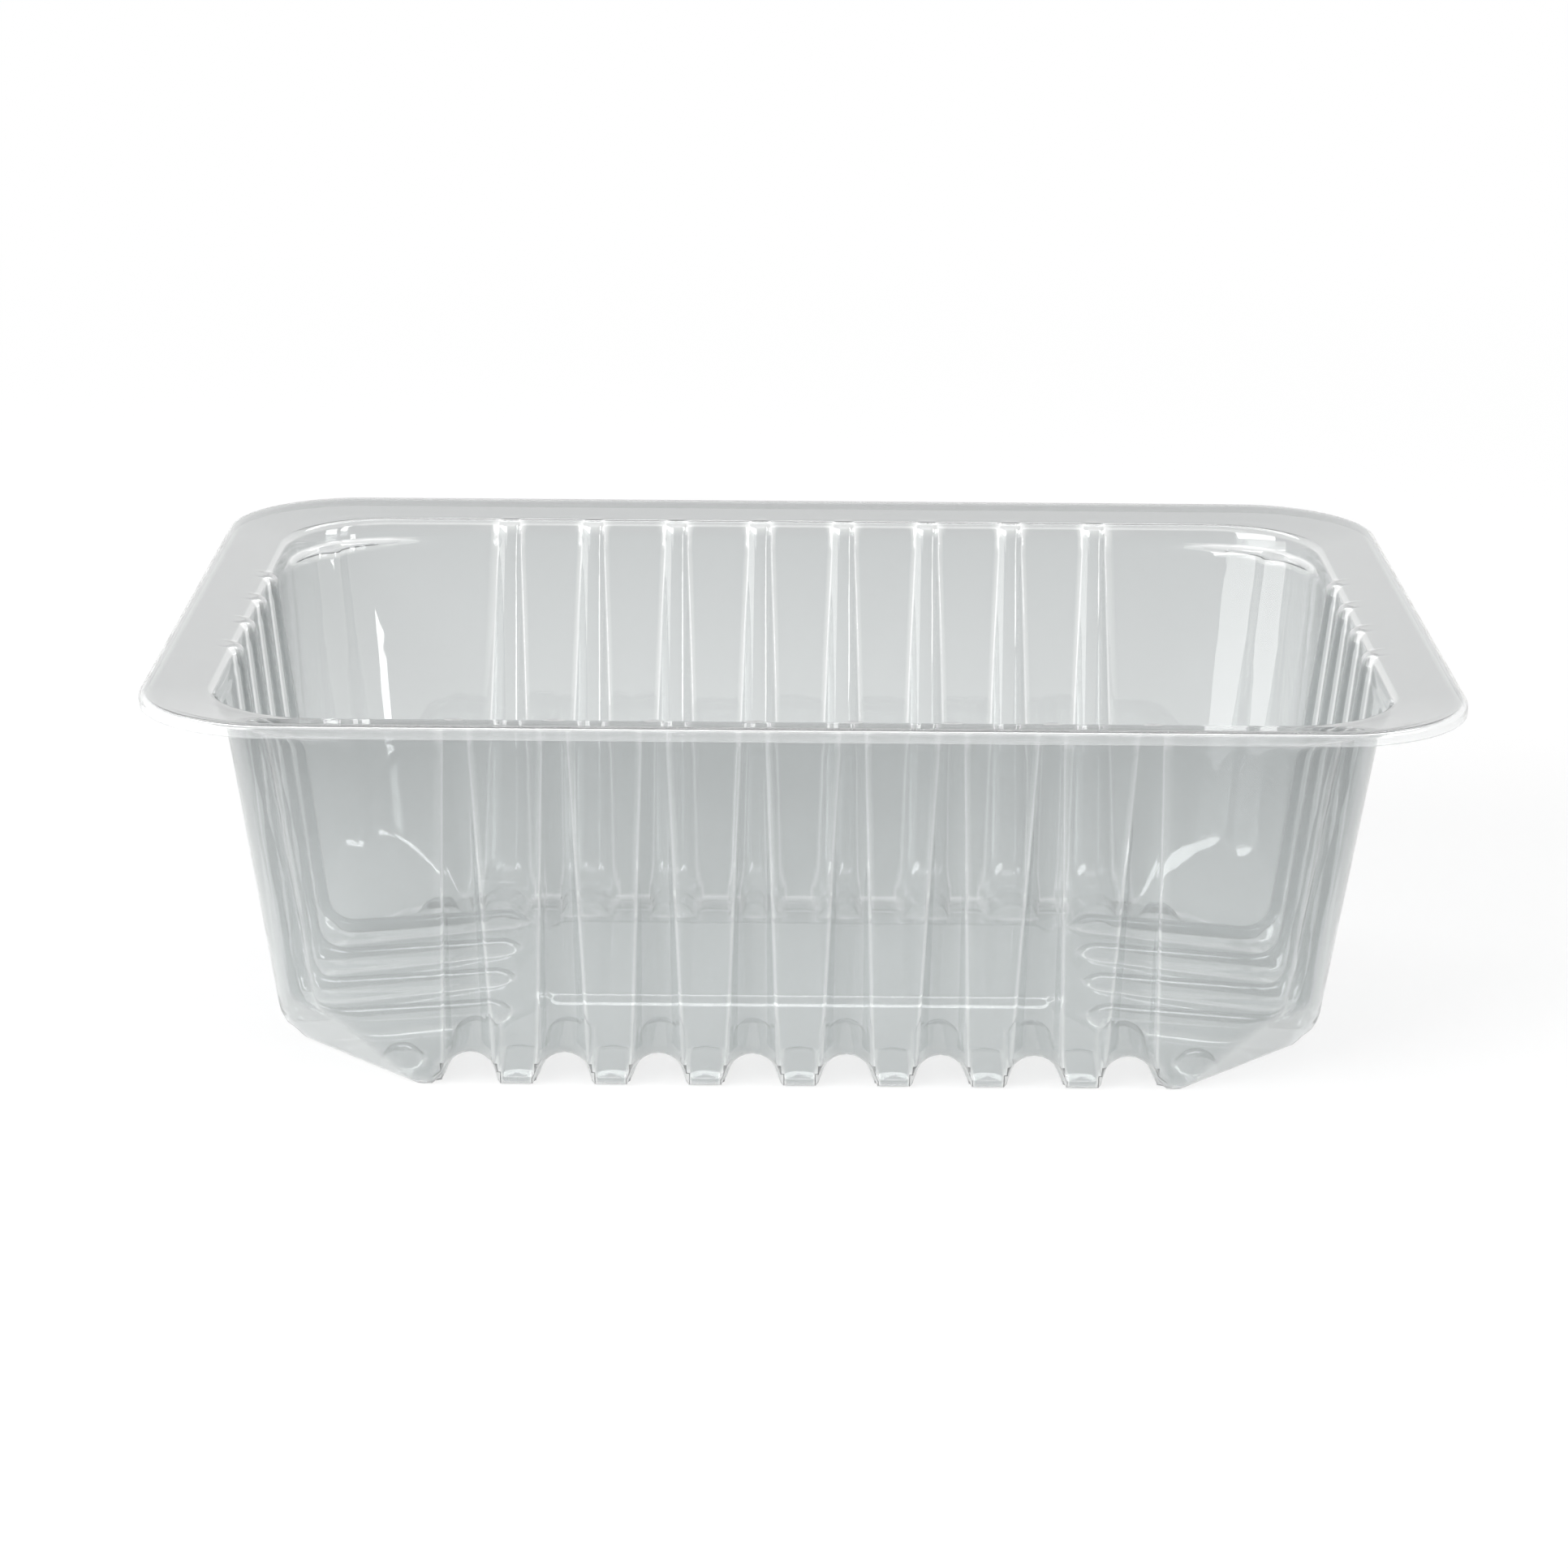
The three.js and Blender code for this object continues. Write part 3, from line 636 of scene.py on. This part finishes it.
def mark_bend_highlights(piece, slack, tight):
    """Keep on every vertex how tightly the sheet is bent there: 0 from the slack radius up, 1 at the tight
    one. Every edge gives half its bend to either end, so a vertex sums both ways of the grid. The share is
    the mask of the painted highlight along tight bends."""
    mesh = piece.data
    normals, places = np.empty(len(mesh.vertices) * 3), np.empty(len(mesh.vertices) * 3)
    ends = np.empty(len(mesh.edges) * 2, dtype=np.int32)
    mesh.vertex_normals.foreach_get("vector", normals)
    mesh.vertices.foreach_get("co", places)
    mesh.edges.foreach_get("vertices", ends)
    normals, places, ends = normals.reshape(-1, 3), places.reshape(-1, 3), ends.reshape(-1, 2)
    turn = np.linalg.norm(np.diff(normals[ends], axis=1)[:, 0], axis=-1)
    length = np.linalg.norm(np.diff(places[ends], axis=1)[:, 0], axis=-1)
    curve = turn / np.maximum(length, SHORTEST_EDGE)
    bend = np.zeros(len(mesh.vertices))
    for side in (0, 1):
        np.add.at(bend, ends[:, side], curve / 2)
    share = soft_step(bend, 1 / slack, 1 / tight)
    mesh.attributes.new(BEND_HIGHLIGHT, "FLOAT", "POINT").data.foreach_set("value", share.astype(np.float32))


def add_node(tree, kind, inputs=None, **settings):
    """Add a node with its settings; an input is a value or another node's output socket."""
    node = tree.nodes.new(kind)
    for name, value in settings.items():
        setattr(node, name, value)
    for name, value in (inputs or {}).items():
        if isinstance(value, bpy.types.NodeSocket):
            tree.links.new(value, node.inputs[name])
        else:
            node.inputs[name].default_value = value
    return node


def clear_sheet_material(finish):
    """Clear PET sheet, thermoformed: glossy and see-through. Its faint grey is painted deepest at the thick
    flange and palest at the foot, as painted light that makes up for the floor's shadow and the stacked
    sheets low in the tray; tight bends are painted whiter as a painted highlight for the bright lines that
    lamps draw along them; drawing leaves soft waves that wobble the reflections, and the mould leaves a
    faint haze in patches."""
    material = bpy.data.materials.new("clear PET sheet, thermoformed")
    material.use_nodes = True
    tree = material.node_tree
    tree.nodes.clear()
    place = add_node(tree, "ShaderNodeTexCoord").outputs["Object"]
    waves = add_node(tree, "ShaderNodeTexNoise",
                     {"Vector": place, "Scale": 1 / finish.wave_size, "Detail": WAVE_DETAIL}).outputs["Fac"]
    bump = add_node(tree, "ShaderNodeBump",
                    {"Height": waves, "Strength": 1.0, "Distance": finish.wave_depth}).outputs["Normal"]
    haze = add_node(tree, "ShaderNodeTexNoise",
                    {"Vector": place, "Scale": 1 / finish.haze_size, "Detail": HAZE_DETAIL}).outputs["Fac"]
    roughness = add_node(tree, "ShaderNodeMapRange",
                         {"Value": haze, "From Min": HAZE_LEVELS[0], "From Max": HAZE_LEVELS[1],
                          "To Min": finish.gloss_roughness,
                          "To Max": finish.haze_roughness}).outputs["Result"]
    height = add_node(tree, "ShaderNodeSeparateXYZ", {"Vector": place}).outputs["Z"]
    # Painted light: the grey pales from the top of the walls down to the foot and deepens up to the flange,
    # against the shade low in the tray
    drawn, thick = (add_node(tree, "ShaderNodeMapRange",
                             {"Value": height, "From Min": finish.grey_fade_top,
                              "From Max": end}).outputs["Result"]
                    for end in (finish.grey_fade_foot, finish.undrawn))
    # Painted highlight: the bend mask mixes a whiter colour in where the sheet is bent tightly
    bend = add_node(tree, "ShaderNodeAttribute", attribute_name=BEND_HIGHLIGHT).outputs["Fac"]
    colour = (*finish.wall_colour, 1)
    for share, other in ((drawn, finish.foot_colour), (thick, finish.flange_colour),
                         (bend, finish.bend_highlight_colour)):
        colour = add_node(tree, "ShaderNodeMix",
                          {MIX_SHARE: share, MIX_FIRST: colour, MIX_SECOND: (*other, 1)},
                          data_type="RGBA").outputs[MIX_COLOUR]
    surface = add_node(tree, "ShaderNodeBsdfPrincipled",
                       {"Base Color": colour, "Roughness": roughness, "IOR": finish.refraction,
                        "Transmission Weight": finish.clarity, "Normal": bump}).outputs["BSDF"]
    add_node(tree, "ShaderNodeOutputMaterial", {"Surface": surface})
    return material


def weld(piece):
    """Merge the doubles between the grids and turn every face to the tray's open side."""
    bpy.ops.object.mode_set(mode="EDIT")
    bpy.ops.mesh.select_all(action="SELECT")
    bpy.ops.mesh.remove_doubles(threshold=MERGE_DISTANCE)
    bpy.ops.mesh.normals_make_consistent(inside=False)
    bpy.ops.object.mode_set(mode="OBJECT")
    middle = min(piece.data.polygons, key=lambda face: face.center.xy.length)
    if middle.normal.z < 0:
        bpy.ops.object.mode_set(mode="EDIT")
        bpy.ops.mesh.flip_normals()
        bpy.ops.object.mode_set(mode="OBJECT")


def thicken(piece, shape, rim):
    """Give the sheet its thickness: full at the flange, and less where it is drawn below the rim."""
    gauge = piece.vertex_groups.new(name="gauge")
    for vertex in piece.data.vertices:
        undrawn = soft_step(vertex.co.z, rim - shape.thin_depth, rim - shape.sheet)
        gauge.add([vertex.index], between(shape.drawn_share, 1.0, float(undrawn)), "REPLACE")
    apply_modifier(piece, "SOLIDIFY", thickness=shape.sheet, offset=1.0, use_even_offset=True,
                   vertex_group=gauge.name, use_quality_normals=True)
    keep_below(piece, shape.height)


class TRAY_OT_form_sheet(Operator):
    """Draw the clear sheet onto the tray's mould"""

    bl_idname = "tray.form_sheet"
    bl_label = "Form the sheet"

    def execute(self, context):
        shape, finish = context.scene.tray_shape, context.scene.tray_finish
        mould = Mould(shape)
        layout = SheetLayout(mould)
        floor = grid_piece("tray_floor", layout.floor())
        piece = grid_piece("tray_sheet", layout.skirt())
        floor.select_set(True)
        bpy.ops.object.join()
        apply_modifier(piece, "MIRROR", use_axis=(True, True, False), merge_threshold=MERGE_DISTANCE)
        weld(piece)
        thicken(piece, shape, mould.rim)
        # Keep the mask for the painted highlight along tight bends
        mark_bend_highlights(piece, finish.bend_slack, finish.bend_tight)
        bpy.ops.object.shade_smooth_by_angle(angle=SMOOTH_ANGLE)
        piece.data.materials.append(clear_sheet_material(finish))

        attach(piece, "root")
        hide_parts("tray_body")
        return {"FINISHED"}


def seen_directly(tree):
    """1 for the rays that show the background itself: from the eye, in a reflection or through plastic."""
    path = add_node(tree, "ShaderNodeLightPath").outputs
    seen = path["Is Camera Ray"]
    for kind in ("Is Glossy Ray", "Is Transmission Ray"):
        larger = add_node(tree, "ShaderNodeMath", {0: seen, 1: path[kind]}, operation="MAXIMUM")
        seen = larger.outputs["Value"]
    return seen


# Soft studio lights: place, size across and up in metres, and brightness, where a lamp of 1 looks white
SOFT_LIGHTS = {
    "left window": ((-1.11, -0.45, 0.30), (1.2, 0.34), 2.2),
    "left low strip": ((-1.11, -0.45, 0.06), (1.2, 0.12), 7.0),
    "left high window": ((-0.78, -0.56, 0.64), (1.0, 0.40), 7.5),
    "right strip": ((0.85, -0.85, 0.29), (0.14, 0.2), 8.0),
    "right high window": ((1.0, -0.25, 0.5), (0.3, 0.25), 8.0),
    "right high strip": ((0.80, -0.50, 0.72), (0.16, 0.45), 10.0),
    "front top box": ((0.0, -0.68, 1.05), (1.2, 0.5), 1.6),
    "back top strip": ((0.0, 0.78, 1.01), (1.2, 0.26), 5.0),
}


class TRAY_OT_build_stage(Operator):
    """Set up the plain floor, the soft light and the camera at the photo's angle"""

    bl_idname = "tray.build_stage"
    bl_label = "Build the stage"

    def execute(self, context):
        stage = context.scene.tray_stage
        self.add_floor(stage)
        self.add_sky(context.scene, stage)
        for name, (place, (across, up), brightness) in SOFT_LIGHTS.items():
            self.add_light(name, Vector(place), across, up, brightness)
        self.add_camera(context.scene, stage)
        context.scene.view_settings.view_transform = "Standard"
        return {"FINISHED"}

    def add_floor(self, stage):
        """Pale floor that shows the tray's shadow near it and is plain white further off."""
        bpy.ops.object.select_all(action="DESELECT")
        bpy.ops.mesh.primitive_plane_add(size=stage.floor_size,
                                         location=(0, 0, CAD_LOW.z - stage.floor_gap))
        floor = bpy.context.object
        floor.name = "studio_floor"
        material = bpy.data.materials.new("matt studio floor")
        material.use_nodes = True
        tree = material.node_tree
        tree.nodes.clear()
        place = add_node(tree, "ShaderNodeTexCoord").outputs["Object"]
        far = add_node(tree, "ShaderNodeVectorMath", {0: place}, operation="LENGTH").outputs["Value"]
        plain = add_node(tree, "ShaderNodeMapRange",
                         {"Value": far, "From Min": stage.shadow_near, "From Max": stage.shadow_far,
                          "To Min": 1 - stage.shadow_share},
                         interpolation_type="SMOOTHSTEP").outputs["Result"]
        share = add_node(tree, "ShaderNodeMath", {0: plain, 1: seen_directly(tree)},
                         operation="MULTIPLY").outputs["Value"]
        matt = add_node(tree, "ShaderNodeBsdfDiffuse", {"Color": (*stage.floor_colour, 1)}).outputs["BSDF"]
        white = add_node(tree, "ShaderNodeEmission", {"Strength": 1.0}).outputs["Emission"]
        both = add_node(tree, "ShaderNodeMixShader", {0: share, 1: matt, 2: white}).outputs["Shader"]
        add_node(tree, "ShaderNodeOutputMaterial", {"Surface": both})
        floor.data.materials.append(material)
        floor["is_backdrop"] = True

    def add_sky(self, scene, stage):
        """World that shows white and lights the tray evenly with less."""
        world = bpy.data.worlds.new("white studio")
        world.use_nodes = True
        tree = world.node_tree
        tree.nodes.clear()
        strength = add_node(tree, "ShaderNodeMapRange",
                            {"Value": seen_directly(tree), "To Min": stage.sky_light}).outputs["Result"]
        sky = add_node(tree, "ShaderNodeBackground",
                       {"Color": (1, 1, 1, 1), "Strength": strength}).outputs["Background"]
        add_node(tree, "ShaderNodeOutputWorld", {"Surface": sky})
        scene.world = world

    def add_light(self, name, place, across, up, brightness):
        """Soft light that faces the middle of the tray."""
        aim = Vector((0, 0, (CAD_LOW.z + CAD_HIGH.z) / 2))
        bpy.ops.object.light_add(type="AREA", location=place,
                                 rotation=(aim - place).to_track_quat("-Z", "Y").to_euler())
        light = bpy.context.object
        light.name = name
        light.data.shape = "RECTANGLE"
        light.data.size, light.data.size_y = across, up
        light.data.energy = brightness * math.pi * across * up

    def add_camera(self, scene, stage):
        """Camera that looks along +Y, down by its pitch and turned by its roll."""
        pitch, roll = stage.camera_pitch, stage.camera_roll
        ahead = Vector((0, math.cos(pitch), -math.sin(pitch)))
        right, up = Vector((1, 0, 0)), Vector((0, math.sin(pitch), math.cos(pitch)))
        turned_right = right * math.cos(roll) + up * math.sin(roll)
        turned_up = up * math.cos(roll) - right * math.sin(roll)
        turn = Matrix((turned_right, turned_up, -ahead)).transposed()
        bpy.ops.object.camera_add(location=stage.camera_place, rotation=turn.to_euler())
        camera = bpy.context.object
        camera.name = "photo_camera"
        camera.data.lens, camera.data.sensor_width = stage.lens, SENSOR_WIDTH
        scene.camera = camera


class VIEW3D_PT_clear_tray(Panel):
    """Sizes, finish and stage of the tray, with a button for each step"""

    bl_label = "Clear food tray"
    bl_idname = "VIEW3D_PT_clear_tray"
    bl_space_type = "VIEW_3D"
    bl_region_type = "UI"
    bl_category = "Tray"

    def draw(self, context):
        steps = ((TRAY_OT_form_sheet, (context.scene.tray_shape, context.scene.tray_finish)),
                 (TRAY_OT_build_stage, (context.scene.tray_stage,)))
        for operator, groups in steps:
            box = self.layout.box()
            for group in groups:
                for name in group.__annotations__:
                    box.prop(group, name)
            box.operator(operator.bl_idname)


GROUPS = {"tray_shape": TrayShape, "tray_finish": TrayFinish, "tray_stage": TrayStage}
CLASSES = (*GROUPS.values(), TRAY_OT_form_sheet, TRAY_OT_build_stage, VIEW3D_PT_clear_tray)


def register():
    for each in CLASSES:
        bpy.utils.register_class(each)
    for name, group in GROUPS.items():
        setattr(bpy.types.Scene, name, PointerProperty(type=group))


def unregister():
    for name in GROUPS:
        delattr(bpy.types.Scene, name)
    for each in reversed(CLASSES):
        bpy.utils.unregister_class(each)


def main():
    register()
    bpy.ops.tray.form_sheet()
    bpy.ops.tray.build_stage()


if __name__ == "__main__":
    main()
